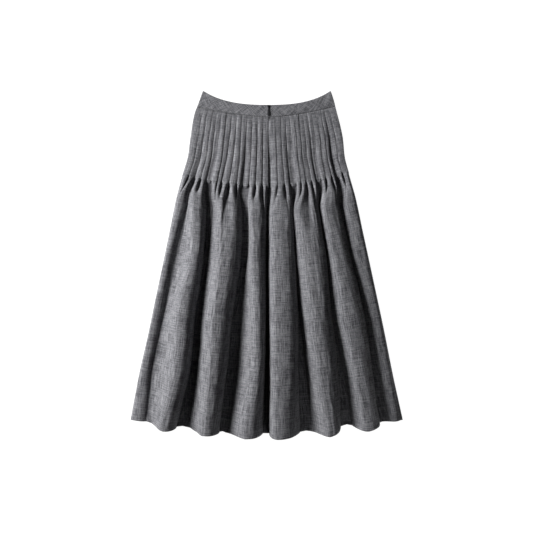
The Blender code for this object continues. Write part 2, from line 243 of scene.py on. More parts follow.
RIGHT_TUCKS = np.array([
    (16.0, 20.0, 0.8, 0.3, 0.0, 0.0, 30),
    (12.5, 17.0, 0.1, 0.4, 1.0, 3.0, 60),
    (13.2, 13.7, -0.7, 0.6, 7.0, 3.0, 60),
    (12.5, 15.0, -0.6, 1.0, 5.0, 0.0, 30),
    (11.5, 11.0, 0.9, 0.4, 5.0, 0.0, 30),
    (10.0, 12.5, 0.5, 0.4, 7.0, 2.0, 35),
    (12.8, 14.5, -0.4, 0.35, 8.0, 8.0, 150),
    (12.0, 11.5, -0.5, 0.6, 6.0, 4.0, 60),
    (10.7, 12.0, -0.7, 1.0, 5.0, 0.0, 30),
    (12.5, 11.5, 0.4, 0.4, 3.0, 0.0, 30),
    (12.8, 16.5, 0.9, 0.3, 7.0, 2.5, 35),
    (10.2, 10.5, -0.4, 0.7, 6.0, 2.0, 35),
    (14.0, 18.0, 0.6, 0.9, 4.0, 0.0, 30),
    (18.4, 15.0, 0.0, 0.6, 7.0, 2.0, 45),
], float)

# Level, height of the groove and the crest, and fullness of the tucks' ridges. A low fullness
# is broad and flat.
RIDGES = np.array([
    (BAND_SEAM, 1.0, 1.6, 0.40),
    (50, 1.6, 3.3, 0.38),
    (80, 2.0, 4.8, 0.42),
    (110, 2.4, 5.5, 0.44),
    (177, 3.1, 6.4, 0.44),
    (200, 3.8, 7.8, 0.48),
    (208, 5.6, 10.6, 0.70),
    (216, 7.0, 13.0, 0.85),
    (240, 8.0, 13.0, 0.90),
    (275, 8.0, 10.0, 1.00),
    (320, 6.0, 6.0, 1.00),
], float)

# Where each fold starts, peaks and ends, in steps across the half panel.
LEFT_STEPS = [(0, 5, 7.2), (8.5, 12, 15.8), (20.5, 32, 38), (43.5, 48.5, 55.3)]
RIGHT_STEPS = [(1, 6, 12), (15.8, 23, 31.8), (36, 41, 46.8), (49.5, 53, 56)]

# The distances down at which the folds are measured. At each there is a row for each fold: left
# foot across, crest across, right foot across, height of the crest, and how full and upright the
# left and the right flank are, from 0 for a soft slope to 1 for a steep wall under a flat top.
STATIONS = np.array([249, 362, 512, 662, 799], float)
LEFT_FOLDS = np.array([
    [
        (-231, -220, -203, 10, 0.8, 0.6),
        (-199, -178, -154, 20, 0.6, 0.9),
        (-135, -105, -66, 23, 0.5, 0.9),
        (-49, -34, -5, 21, 0.8, 1.0),
    ],
    [
        (-254, -244, -228, 10, 0.9, 0.3),
        (-221, -181, -161, 26, 0.2, 0.9),
        (-147, -110, -68, 30, 0.4, 0.9),
        (-48, -32, -7, 29, 0.7, 0.9),
    ],
    [
        (-285, -278, -260, 10, 0.9, 0.6),
        (-258, -212, -180, 35, 0.1, 0.9),
        (-172, -130, -88, 39, 0.1, 0.9),
        (-72, -28, -6, 37, 0.0, 0.9),
    ],
    [
        (-318, -308, -293, 9, 0.8, 0.8),
        (-289, -224, -197, 41, 0.0, 0.9),
        (-196, -139, -103, 46, 0.0, 0.9),
        (-94, -28, -8, 46, 0.0, 0.9),
    ],
    [
        (-342, -330, -306, 7, 0.6, 0.6),
        (-290, -256, -228, 38, 0.3, 0.9),
        (-194, -152, -122, 40, 0.2, 0.8),
        (-106, -50, -14, 42, 0.1, 0.8),
    ],
], float)
RIGHT_FOLDS = np.array([
    [
        (3, 28, 61, 21, 0.9, 1.0),
        (62, 88, 124, 23, 0.9, 0.9),
        (128, 144, 176, 20, 0.8, 0.9),
        (186, 206, 221, 12, 0.7, 1.0),
    ],
    [
        (2, 28, 66, 30, 0.9, 1.0),
        (65, 104, 141, 31, 0.7, 1.0),
        (143, 168, 202, 27, 0.7, 0.9),
        (206, 230, 246, 15, 0.9, 1.0),
    ],
    [
        (2, 27, 73, 40, 0.9, 1.0),
        (78, 116, 157, 41, 0.6, 0.9),
        (156, 196, 237, 34, 0.5, 0.9),
        (242, 266, 280, 14, 0.6, 0.8),
    ],
    [
        (2, 27, 74, 48, 0.85, 1.0),
        (95, 131, 173, 48, 0.4, 0.9),
        (186, 220, 258, 35, 0.4, 1.0),
        (264, 296, 308, 12, 0.5, 0.5),
    ],
    [
        (4, 26, 80, 44, 0.9, 0.7),
        (106, 151, 180, 42, 0.1, 0.9),
        (212, 246, 278, 33, 0.5, 0.9),
        (296, 322, 336, 8, 0.3, 0.1),
    ],
], float)
# A full flank has the section of a rounded box, and a soft one rises slowly from its foot.
BOX = 2 / 3
SLOW_FOOT = 1.3

# The steps at which a valley between folds draws the tucks above it in.
LEFT_DIPS = (7.5, 18.0, 40.5)
RIGHT_DIPS = (0.0, 14.0, 34.0, 48.5)

# Step across, how far the hem rises there.
LEFT_HEM = np.array([
    (0, 0), (7.5, 3), (12, -6), (18, 5), (30, -6), (41, 1), (48, -6), (54, 0), (56, 0),
], float)
RIGHT_HEM = np.array([
    (0, 0), (6, -6), (14, 4), (23, -6), (34, 11), (41, -6), (48, 5), (53, 1), (56, 0),
], float)
# The level from which the hem's rise draws the cloth up.
HEM_RISE_FROM = 690.0
print("tucks", len(LEFT_TUCKS) + len(RIGHT_TUCKS), "folds", len(LEFT_STEPS) + len(RIGHT_STEPS))

# %% Reading the tables
def follow(places, values, at):
    """A smooth curve through a table's column."""
    slopes = np.gradient(values, places)
    at = np.clip(at, places[0], places[-1])
    low = np.clip(np.searchsorted(places, at, side="right") - 1, 0, len(places) - 2)
    wide = places[low + 1] - places[low]
    t = (at - places[low]) / wide
    return (
        (2 * t**3 - 3 * t**2 + 1) * values[low]
        + (t**3 - 2 * t**2 + t) * wide * slopes[low]
        + (3 * t**2 - 2 * t**3) * values[low + 1]
        + (t**3 - t**2) * wide * slopes[low + 1]
    )


def ease(share):
    """A smooth step from 0 to 1."""
    share = np.clip(share, 0.0, 1.0)
    return share * share * (3.0 - 2.0 * share)


def edge_across(side, down):
    """Across of a side edge of the skirt."""
    return follow(EDGES[:, 0], EDGES[:, 1 if side < 0 else 2], down)


def seam_across(down):
    """Across of the centre back seam."""
    return follow(SEAM[:, 0], SEAM[:, 1], down)


def rise(side, level, share):
    """How far a level line rises above its middle, at a share of the way to an edge."""
    power = np.interp(level, SAG[:, 0], SAG[:, 3])
    return np.interp(level, SAG[:, 0], SAG[:, 1 if side < 0 else 2]) * np.abs(share) ** power


def waves(x, y, seed, wide, long, count=14):
    """Soft unevenness: a sum of long waves with a fixed seed, between about -1 and 1."""
    dice = np.random.default_rng(seed)
    total = np.zeros(np.broadcast(x, y).shape)
    for _ in range(count):
        across = dice.normal(0.0, 1.0) / wide
        along = dice.normal(0.0, 1.0) / long
        total += np.sin(2 * math.pi * (x * across + y * along) + dice.uniform(0, 2 * math.pi))
    return total / math.sqrt(count * 0.5) / 2.0


print("edges 400 mm down", edge_across(-1, 400.0).round(1), edge_across(1, 400.0).round(1))

# %% [markdown]
# ## The back panels
# Each half of the back is one piece of cloth from the waistband to the hem. It could be a
# sculpted mesh or a cloth simulation, but a grid of points worked out from the tables keeps
# every tuck and fold where it belongs, and lets each of its grid lines carry a length of thread
# for the weave. Above the release a point lies on a tuck's ridge; below, it passes over to a
# fold's flank, the valleys sooner than the crests, and so the dark eyes between the ridges form.

# %% Tucks over the hips
# Down to this level the tucks keep their width in the yoke.
WIDTHS_FROM = 70.0
LEAN = 2.4
LEAN_FROM = 40.0
LEAN_OVER = 60.0
CREST_UNEVEN = 0.7
SEAM_MARK = 0.3
DIP_DEPTH = 4.6
DIP_STEPS = 2.2
DIP_FROM = 45.0
DIP_OVER = 150.0


def tuck_points(side, step, level, down, uneven):
    """Across and height of the points of the stitched tucks."""
    tucks = LEFT_TUCKS if side < 0 else RIGHT_TUCKS
    lower = np.clip((level - WIDTHS_FROM) / (RELEASE - WIDTHS_FROM), 0.0, 1.0)
    widths = tucks[:, 0][:, None] * (1 - lower.T) + tucks[:, 1][:, None] * lower.T
    edges = np.vstack([np.zeros((1, widths.shape[1])), np.cumsum(widths, axis=0)])
    edges = (edges / edges[-1]).T
    number = np.minimum((step // STEPS_PER_TUCK).astype(int), TUCKS - 1)[0]
    share = step[0] / STEPS_PER_TUCK - number
    along = edges[:, number] + (edges[:, number + 1] - edges[:, number]) * share[None, :]
    seam = seam_across(down) + side * (SEAM_GAP_HALF + SEAM_FLAT)
    edge = edge_across(side, down)
    left, right = (edge, seam) if side < 0 else (seam, edge)
    across = left + (right - left) * along
    groove = np.interp(level, RIDGES[:, 0], RIDGES[:, 1])
    crest = np.interp(level, RIDGES[:, 0], RIDGES[:, 2]) + CREST_UNEVEN * uneven[number][None, :]
    full = np.interp(level, RIDGES[:, 0], RIDGES[:, 3])
    bulge = np.maximum(np.sin(math.pi * share), 0.0)[None, :] ** full
    nearest = np.where(share < 0.5, number, number + 1)
    marks = np.append(tucks[:, 3], SEAM_MARK)[nearest][None, :]
    leans = tucks[:, 2][number][None, :] * (share - 0.5)[None, :]
    tilt = LEAN * leans * ease((level - LEAN_FROM) / LEAN_OVER)
    high = crest - (crest - groove) * marks * (1.0 - bulge) + tilt * bulge
    for middle in LEFT_DIPS if side < 0 else RIGHT_DIPS:
        dip = np.exp(-(((step[:1] - middle) / DIP_STEPS) ** 2))
        high = high - DIP_DEPTH * dip * ease((level - DIP_FROM) / DIP_OVER)
    return across, high


print("tucks lean by up to", LEAN / 2, "mm, dips", DIP_DEPTH, "mm")

# %% Folds below the release
def fold_points(side, step, level, down):
    """Across and height of the points of the free folds."""
    steps = LEFT_STEPS if side < 0 else RIGHT_STEPS
    folds = LEFT_FOLDS if side < 0 else RIGHT_FOLDS
    seam = seam_across(down) + side * (SEAM_GAP_HALF + SEAM_FLAT)
    edge = edge_across(side, down)
    start_line, end_line = (edge, seam) if side < 0 else (seam, edge)
    across = np.zeros(down.shape)
    high = np.zeros(down.shape)
    s = step[0]
    before_step, before = 0, start_line
    for number, (start, peak, end) in enumerate(steps):
        foot, crest, far, height, left_full, right_full = (
            follow(STATIONS, folds[:, number, column], down) for column in range(6))
        foot = start_line if start == 0 else foot
        far = end_line if end == LAST_STEP else far
        if start > before_step:
            valley = ((s >= before_step) & (s <= start))[None, :]
            t = ((s - before_step) / (start - before_step))[None, :]
            across = np.where(valley, before + (foot - before) * t, across)
        for low, reach, full in ((start, foot, left_full), (end, far, right_full)):
            t = np.clip((s - low) / (peak - low), 0.0, 1.0)[None, :]
            here = ((s >= min(low, peak)) & (s <= max(low, peak)))[None, :]
            full = np.clip(full, 0.0, 1.0)
            forward = t * (1 - full) + full * (1 - np.cos(math.pi / 2 * t) ** BOX)
            soft = (1 - np.cos(math.pi * t**SLOW_FOOT)) / 2
            upward = (1 - full) * soft + full * np.sin(math.pi / 2 * t) ** BOX
            across = np.where(here, reach + (crest - reach) * forward, across)
            high = np.where(here, height * upward, high)
        before_step, before = end, far
    if before_step < LAST_STEP:
        rest = (s > before_step)[None, :]
        t = ((s - before_step) / (LAST_STEP - before_step))[None, :]
        across = np.where(rest, before + (end_line - before) * t, across)
        high = np.where(rest, 0.0, high)
    return across, high


print("folds measured at", STATIONS.astype(int).tolist(), "mm down")

# %% The passage from tucks to folds
OPENS_IN_VALLEY = 8.0
OPENS_IN_FOLD = 68.0
MOVES_IN = 76.0
# Over this many steps from a fold's side the passage grows to its full length.
RIM_STEPS = 3.0


def opening_length(side, s):
    """How far below the release a grid line needs to pass from its tuck to its fold."""
    length = np.full(s.shape, OPENS_IN_VALLEY)
    for start, _, end in LEFT_STEPS if side < 0 else RIGHT_STEPS:
        inside = np.minimum(s - start, end - s) / RIM_STEPS
        slow = OPENS_IN_VALLEY + (OPENS_IN_FOLD - OPENS_IN_VALLEY) * ease(inside)
        length = np.where(inside >= 0, slow, length)
    return length


print("opens over", OPENS_IN_VALLEY, "to", OPENS_IN_FOLD, "mm")

# %% Put tucks and folds together
# The width of a step in the waves below, in millimetres.
STEP_WIDE = 9.0
# The grid lines wander a little to the sides, more below the release than above it.
WANDER_WIDE = 90.0
WANDER_LONG = 160.0
WANDER_ABOVE = 0.2
WANDER_BELOW = 0.9
WANDER_GROWS = 120.0
# The wander fades out over this many steps from a panel's sides.
EDGE_STEPS = 4.0
# The eyes under the last stitches and the creases that run on from them, widths in steps.
EYE_DEPTH = 1.6
EYE_STEPS = 0.54
EYE_LENGTH = 40.0
EYE_ABOVE = 2.0
CREASE_OF_EYE = 0.25
CREASE_STEPS = 1.3
CREASE_FROM = 10.0
# Soft unevenness on the high parts of the folds.
RIPPLE_WIDE = 26.0
RIPPLE_LONG = 90.0
RIPPLE_HIGH = 0.7
RIPPLE_FROM = 10.0
RIPPLE_OVER = 9.0
# Where a point lies decides how far its level line rises, so a few rounds settle it.
PANEL_ROUNDS = 5


def panel_points(side, s, levels, seed):
    """The inner surface of half of the back, as across, down and height in millimetres."""
    step = np.broadcast_to(s, (len(levels), len(s)))
    level = np.broadcast_to(levels[:, None], step.shape)
    uneven = np.random.default_rng(seed).uniform(-1, 1, TUCKS)
    opened = ease((level - RELEASE) / opening_length(side, s)[None, :])
    moved = ease((level - RELEASE) / MOVES_IN)
    hem = np.interp(s, *(LEFT_HEM if side < 0 else RIGHT_HEM).T)
    hem = hem[None, :] * np.clip((level - HEM_RISE_FROM) / (HEM - HEM_RISE_FROM), 0, 1) ** 2
    line = level * 0.0 + s[None, :] * STEP_WIDE
    wander = waves(line, level, seed + 1, WANDER_WIDE, WANDER_LONG)
    sway = wander * (WANDER_ABOVE + WANDER_BELOW * ease((level - RELEASE) / WANDER_GROWS))
    inside = np.minimum(1.0, np.minimum(s, s[-1] - s) / EDGE_STEPS)[None, :]
    down = level.astype(float)
    for _ in range(PANEL_ROUNDS):
        across, high = tuck_points(side, step, level[:, :1], down, uneven)
        fold_across, fold_high = fold_points(side, step, level, down)
        across = across + (fold_across - across) * moved + sway * inside
        high = high + (fold_high - high) * opened
        half = np.abs(edge_across(side, down) - seam_across(down))
        share = np.minimum(1.0, np.abs(across - seam_across(down)) / half)
        down = level - rise(side, level, share) - hem
    tucks = LEFT_TUCKS if side < 0 else RIGHT_TUCKS
    below = level - RELEASE
    for number in range(1, TUCKS):
        eye, crease, length = tucks[number, 4:]
        crease = crease + CREASE_OF_EYE * eye
        aside = s[None, :] - number * STEPS_PER_TUCK
        high = high - EYE_DEPTH * eye * np.exp(-((aside / EYE_STEPS) ** 2)) * np.where(
            below < 0, ease((below + EYE_ABOVE) / EYE_ABOVE), 1 - ease(below / EYE_LENGTH))
        fades = 1 - ease((below - CREASE_FROM) / length)
        high = high - crease * np.exp(-((aside / CREASE_STEPS) ** 2)) * np.where(
            below < 0, 0, ease(below / CREASE_FROM) * fades)
    ripple = waves(s[None, :] * STEP_WIDE, level, seed + 2, RIPPLE_WIDE, RIPPLE_LONG)
    ripple = RIPPLE_HIGH * ripple * np.clip((high - RIPPLE_FROM) / RIPPLE_OVER, 0, 1)
    high = np.maximum(high + ripple, 0.0)
    return across, down, FLOOR_OF_BACK + high


print("eyes", EYE_LENGTH, "mm long")

# %% Grid lines and thread lengths
# The columns of a tuck, as shares of its width, close together at the line where its eye is.
SHARES = np.array([
    0, 0.015, 0.04, 0.08, 0.13, 0.19, 0.26, 0.33, 0.40,
    0.47, 0.54, 0.61, 0.68, 0.75, 0.82, 0.88, 0.93, 0.97,
])
COLUMN_STEPS = np.append((np.arange(TUCKS)[:, None] + SHARES).ravel() * STEPS_PER_TUCK, LAST_STEP)
# The rows, close together where the folds open and at the hem.
LEVELS = np.concatenate([
    np.linspace(BAND_SEAM + GAP, 194, 28),
    np.arange(197, 300, 2.6),
    np.linspace(303, 792, 82),
    np.array([797, 802, 806, 809, 811, 813, 816, HEM]),
])
# Between these levels the folds hang free, and the threads keep their distances.
FREE_FROM = 480.0
FREE_TO = 780.0
THREADS_PASS = 70.0


def thread_lengths(points, s, levels):
    """For each point, how far across the cloth it lies, in metres, as the threads run."""
    hops = np.linalg.norm(np.diff(points, axis=1), axis=2)
    arc = np.concatenate([np.zeros((len(points), 1)), np.cumsum(hops, axis=1)], axis=1)
    free = arc[(levels > FREE_FROM) & (levels < FREE_TO)].mean(axis=0)
    tuck = np.minimum(s // STEPS_PER_TUCK, TUCKS - 1)
    centre = np.searchsorted(s, (tuck + 0.5) * STEPS_PER_TUCK)
    stitched = free[centre][None, :] + arc - arc[:, centre]
    below = ease((levels - RELEASE) / THREADS_PASS)[:, None]
    return stitched * (1 - below) + free[None, :] * below


def thread_mesh(name, corners, faces, threads):
    """A smooth mesh in the scene, with the threads' lengths as its UV map."""
    mesh = bpy.data.meshes.new(name)
    mesh.from_pydata(corners.reshape(-1, 3).tolist(), [], faces)
    order = np.zeros(len(mesh.loops), np.int32)
    mesh.loops.foreach_get("vertex_index", order)
    layer = mesh.uv_layers.new(name="Threads")
    layer.data.foreach_set("uv", threads[order].astype(np.float32).ravel())
    mesh.polygons.foreach_set("use_smooth", np.ones(len(mesh.polygons), bool))
    mesh.update()
    return put_in_scene(name, mesh)


def sheet_piece(name, points, thread_across, thread_along, wall):
    """A grid of points as cloth that looks up, with its wall above them."""
    rows, columns = points.shape[:2]
    a = (np.arange(rows - 1)[:, None] * columns + np.arange(columns - 1)).ravel()
    faces = np.stack([a, a + columns, a + columns + 1, a + 1], axis=1).tolist()
    threads = np.stack(np.broadcast_arrays(thread_across, thread_along), axis=-1).reshape(-1, 2)
    made = thread_mesh(name, points, faces, threads)
    thick = made.modifiers.new("wall", "SOLIDIFY")
    thick.thickness = wall * MM
    thick.offset = 1.0
    return made


print("grid", len(LEVELS), "by", len(COLUMN_STEPS))

# %% Build the back panels
CLOTH_WALL = 1.1
# For each half: its side, the seed of its unevenness, and where its threads start.
BACKS = {"back_left": (-1, 11, 0.0), "back_right": (1, 23, 0.9)}
# The two columns of the lip at the seam: their shares of its width, how far the lip rolls down
# beside the zip, and the height at which it stays clear of the coil.
LIP_SHARES = np.array([0.3, 1.0])
LIP_ROLL = 1.5
COIL_CLEAR = 4.85
ZIP_GAP_HALF = 0.6
ZIP_GAP_CLOSES = 20.0


def add_at_seam(side, grid, more):
    """More columns on the side of a grid that lies at the seam."""
    return np.hstack([grid, more] if side < 0 else [more, grid])


backs = []
for name, (side, seed, first_thread) in BACKS.items():
    across, down, high = panel_points(side, COLUMN_STEPS, LEVELS, seed)
    threads = thread_lengths(to_frame(across, down, high), COLUMN_STEPS, LEVELS)
    at = [-1, -1] if side < 0 else [0, 0]
    parts = LIP_SHARES if side < 0 else LIP_SHARES[::-1]
    apart = np.interp(LEVELS, (RELEASE - ZIP_GAP_CLOSES, RELEASE), (ZIP_GAP_HALF, SEAM_GAP_HALF))
    lip = seam_across(down[:, at]) + side * apart[:, None]
    strip = across[:, at] + (lip - across[:, at]) * parts
    rolled = np.maximum(high[:, at] - LIP_ROLL * parts**4, COIL_CLEAR)
    over_coil = np.where((LEVELS < RELEASE)[:, None], rolled, high[:, at])
    lip_threads = threads[:, at] - side * np.abs(strip - across[:, at]) * MM
    threads = add_at_seam(side, threads, lip_threads)
    across = add_at_seam(side, across, strip)
    down = add_at_seam(side, down, down[:, at])
    high = add_at_seam(side, high, over_coil)
    piece = sheet_piece(name, to_frame(across, down, high), threads + first_thread,
                        LEVELS[:, None] * MM, CLOTH_WALL)
    backs.append(piece)
    print(name, len(piece.data.polygons), "faces, thread length", round(float(np.ptp(threads)), 3))

# %% [markdown]
# ## The front panel
# The front lies under the back and on the floor. Only its edges show, but it has its own tucks
# and fullness, so its underside has narrow stitched grooves over the hips and its fullness
# lies in low waves that rise inside the folds of the back, where there is room for them.

# %% Build the front panel
FRONT_WALL = 1.4
FRONT_COLUMNS = 225
# The front stays inside the back's outline at the sides and the hem, and its band reaches a
# little lower, so that cloth lies behind the gap under the back band.
FRONT_INSET = 1.5
FRONT_HEM_SHORT = 4.0
FRONT_SEAM_LOWER = 1.2
# Stitched grooves from the underside, with their width as a share of a tuck.
GROOVE_HIGH = 0.55
GROOVE_WIDE = 0.09
GROOVES_END = 215.0
GROOVES_FADE = 60.0
# Low waves under the folds, as a share of their height, and a wave's width.
WAVE_SHARE = 0.11
WAVE_WIDE = 13.0
WAVES_FROM = 330.0
WAVES_GROW = 300.0
FRONT_THREAD_START = 2.2
LEVEL_ROUNDS = 4


def level_points(share, level):
    """Points on level lines, share from -1 at the left edge to 1 at the right."""
    share, level = np.broadcast_arrays(np.asarray(share, float), np.asarray(level, float))
    down = level.astype(float)
    for _ in range(LEVEL_ROUNDS):
        up = np.where(share < 0, rise(-1, level, share), rise(1, level, share))
        down = level - up
    edge = np.where(share < 0, edge_across(-1, down), edge_across(1, down))
    seam = seam_across(down)
    return seam + (edge - seam) * np.abs(share), down


def front_hem_rise(across):
    """The front's hem follows the back's valleys, so that it stays hidden under them."""
    troughs = []
    for side, rises in ((-1, LEFT_HEM), (1, RIGHT_HEM)):
        for step, up in rises:
            if up >= 0:
                spot = np.array([[step]])
                at, _ = fold_points(side, spot, np.array([[HEM]]), np.array([[HEM]]))
                troughs.append((float(at[0, 0]), up))
    troughs.sort()
    return np.interp(across, *np.array(troughs).T)


front_shares = np.linspace(-1, 1, FRONT_COLUMNS)
front_top = BAND_SEAM + FRONT_SEAM_LOWER + GAP
front_levels = np.concatenate([np.linspace(front_top, 200, 24), np.linspace(206, HEM, 76)])
across, down = level_points(front_shares[None, :], front_levels[:, None])
across = across - FRONT_INSET * front_shares[None, :]
short = np.clip((front_levels - HEM_RISE_FROM) / (HEM - HEM_RISE_FROM), 0, 1)[:, None]
down = down - (FRONT_HEM_SHORT + front_hem_rise(across)) * short
phase = (np.abs(front_shares) * TUCKS) % 1.0
groove = GROOVE_HIGH * np.exp(-((np.minimum(phase, 1 - phase) / GROOVE_WIDE) ** 2))[None, :]
above = 1 - ease((front_levels - GROOVES_END) / GROOVES_FADE)[:, None]
crests = []
for folds in (LEFT_FOLDS, RIGHT_FOLDS):
    for number in range(folds.shape[1]):
        crests.append((follow(STATIONS, folds[:, number, 1], down),
                       follow(STATIONS, folds[:, number, 3], down)))
low_waves = sum(
    WAVE_SHARE * top * np.exp(-(((across - at) / WAVE_WIDE) ** 2)) for at, top in crests)
below = ease((front_levels - WAVES_FROM) / WAVES_GROW)[:, None]
high = groove * above + low_waves * below
hops = np.abs(np.diff(across, axis=1)) * MM
threads = np.concatenate([np.zeros((len(across), 1)), np.cumsum(hops, axis=1)], axis=1)
middle = threads[:, [FRONT_COLUMNS // 2]]
front = sheet_piece("front", to_frame(across, down, high), threads - middle + FRONT_THREAD_START,
                    front_levels[:, None] * MM, FRONT_WALL)
print("front", len(front.data.polygons), "faces, highest wave", round(float(high.max()), 1), "mm")

# %% [markdown]
# ## The waistband
# The band is a doubled strip, turned over at the top and stitched to the panels at the bottom.
# A flat strip with a thickness would be sharp where the cloth folds over, so it is lofted as a
# flat tube instead: a small rounded section at each place along the waist. The band is cut on
# the bias, so its threads run slantwise both ways, and the back band ends at the zip.

# %% Band sections
BAND_ALONG = 90
BAND_WALL = 3.0
# The slit at the zip: how wide it is at most and at its ends, its shape down the band, and how
# fast the band returns to its place beside it.
SLIT_HALF = 1.3
SLIT_ENDS = 0.3
SLIT_POWER = 1.4
SLIT_FADES = 60.0
PUCKER_HIGH = 0.35
PUCKER_WIDE = 16.0
PUCKER_LONG = 26.0
# Share of the band's height from the top, share of its thickness, going once round.
BAND_SECTION = np.array([
    (0.000, 0.50),
    (0.008, 0.20),
    (0.035, 0.03),
    (0.120, 0.00),
    (0.500, 0.00),
    (0.900, 0.00),
    (0.985, 0.04),
    (1.000, 0.30),
    (0.998, 0.62),
    (0.970, 0.80),
    (0.930, 0.88),
    (0.800, 0.98),
    (0.600, 1.00),
    (0.400, 1.00),
    (0.200, 0.99),
    (0.080, 0.95),
    (0.030, 0.84),
    (0.007, 0.70),
])


def band_piece(name, start, end, low, inset, longer, first_thread, seed):
    """A piece of the waistband between two shares of the waist's width."""
    shares = np.linspace(start, end, BAND_ALONG + 1)[:, None]
    downs = BAND_SECTION[None, :, 0]
    highs = BAND_SECTION[None, :, 1]
    across, down = level_points(shares, (BAND_SEAM + longer) * downs)
    side = 1 if start + end > 0 else -1
    near = np.exp(-np.abs(shares) * SLIT_FADES) if start * end == 0 else 0.0
    opened = np.sin(math.pi * downs**SLIT_POWER) ** 2
    slit = SLIT_HALF * (SLIT_ENDS + (1 - SLIT_ENDS) * opened)
    across = across - inset * shares + side * slit * near
    on_top = highs > 0.5
    pucker = waves(across, down, seed, PUCKER_WIDE, PUCKER_LONG) * PUCKER_HIGH * on_top
    high = low + BAND_WALL * highs + pucker * np.sin(math.pi * downs)
    points = to_frame(across, down, high)
    count = len(BAND_SECTION)
    faces = []
    for i in range(BAND_ALONG):
        for j in range(count):
            k = (j + 1) % count
            faces.append((i * count + j, i * count + k, (i + 1) * count + k, (i + 1) * count + j))
    faces.append(tuple(range(count - 1, -1, -1)))
    faces.append(tuple(BAND_ALONG * count + j for j in range(count)))
    along = across[:, :1] * MM + first_thread
    over = np.where(on_top, 1.0, -1.0) * BAND_SEAM * downs * MM
    threads = np.stack(np.broadcast_arrays(along, over), axis=-1).reshape(-1, 2)
    bias = np.array([[1.0, -1.0], [1.0, 1.0]]) * math.sqrt(0.5)
    made = thread_mesh(name, points, faces, threads @ bias)
    print(name, len(faces), "faces")
    return made


# %% Build the waistband
band_front = band_piece("band_front", -1.0, 1.0, 0.0, 1.0, FRONT_SEAM_LOWER, 3.0, 41)
band_left = band_piece("band_left", -1.0, 0.0, FLOOR_OF_BAND, 0.0, 0.0, 3.7, 42)
band_right = band_piece("band_right", 0.0, 1.0, FLOOR_OF_BAND, 0.0, 0.0, 4.3, 43)

# %% [markdown]
# ## Cloth material
# The suiting is a plain weave of uneven threads, dark grey crossed with pale slubs. A picture
# of cloth would tile and slide, so the colour is worked out from the threads' lengths in the
# UV map: noise drawn out along the weft gives cross streaks, noise drawn out along the warp
# gives lengthwise ones, and two sine waves give the crossings that only show close to.

# %% Material helpers
def new_material(name):
    """A material with its tree and its shader."""
    made = bpy.data.materials.new(name)
    made.use_nodes = True
    return made, made.node_tree, made.node_tree.nodes["Principled BSDF"]


def node(tree, kind, **settings):
    """A node with settings that are either inputs or properties of it."""
    made = tree.nodes.new(kind)
    for key, value in settings.items():
        if key in made.inputs:
            made.inputs[key].default_value = value
        else:
            setattr(made, key, value)
    return made


def math_node(tree, operation, first, second, third=None):
    """A math node whose inputs are sockets or numbers; gives its output socket."""
    made = tree.nodes.new("ShaderNodeMath")
    made.operation = operation
    for place, value in enumerate((first, second, third)):
        if value is None:
            continue
        if isinstance(value, (int, float)):
            made.inputs[place].default_value = value
        else:
            tree.links.new(value, made.inputs[place])
    return made.outputs[0]


def streaks(tree, threads, across, along, detail):
    """Noise with that many waves a metre across and along the cloth."""
    scaled = node(tree, "ShaderNodeVectorMath", operation="MULTIPLY")
    tree.links.new(threads, scaled.inputs[0])
    scaled.inputs[1].default_value = (across, along, 0.0)
    noise = node(tree, "ShaderNodeTexNoise", Scale=1.0, Detail=detail, Roughness=0.6)
    tree.links.new(scaled.outputs[0], noise.inputs["Vector"])
    return noise.outputs["Fac"]


def mottled_material(name, colour, scale, detail, darker, lighter):
    """A colour made a little uneven; gives the material, its tree, shader and noise."""
    made, tree, shader = new_material(name)
    place = node(tree, "ShaderNodeTexCoord").outputs["Object"]
    noise = node(tree, "ShaderNodeTexNoise", Scale=scale, Detail=detail).outputs["Fac"]
    tree.links.new(place, noise.node.inputs["Vector"])
    tint = node(tree, "ShaderNodeMix", data_type="RGBA")
    tint.inputs[6].default_value = (*[c * darker for c in colour], 1.0)
    tint.inputs[7].default_value = (*[c * lighter for c in colour], 1.0)
    tree.links.new(noise, tint.inputs[0])
    tree.links.new(tint.outputs[2], shader.inputs["Base Color"])
    return made, tree, shader, noise


print("helpers ready")

# %% Heathered cloth
CLOTH_TONES = (
    (0.20, (0.010, 0.010, 0.012)),
    (0.42, (0.038, 0.038, 0.042)),
    (0.58, (0.085, 0.085, 0.093)),
    (0.80, (0.210, 0.210, 0.222)),
)
# Waves a metre across and along the cloth, detail, and weight in the tone, for the warp, the
# weft, the fine warp, the fine weft and the broad unevenness of the dye.
STREAKS = (
    (520.0, 26.0, 1.0, 0.62),
    (30.0, 520.0, 1.0, 0.52),
    (1500.0, 110.0, 1.0, 0.40),
    (130.0, 1500.0, 1.0, 0.34),
    (14.0, 10.0, 2.0, 0.12),
)
TONE_OFFSET = -0.36
THREAD_PITCH = 0.0009
CROSSING_TONE = 0.06
CROSSING_RELIEF = 0.25
RELIEF_STRENGTH = 0.55
RELIEF_HEIGHT = 0.0005


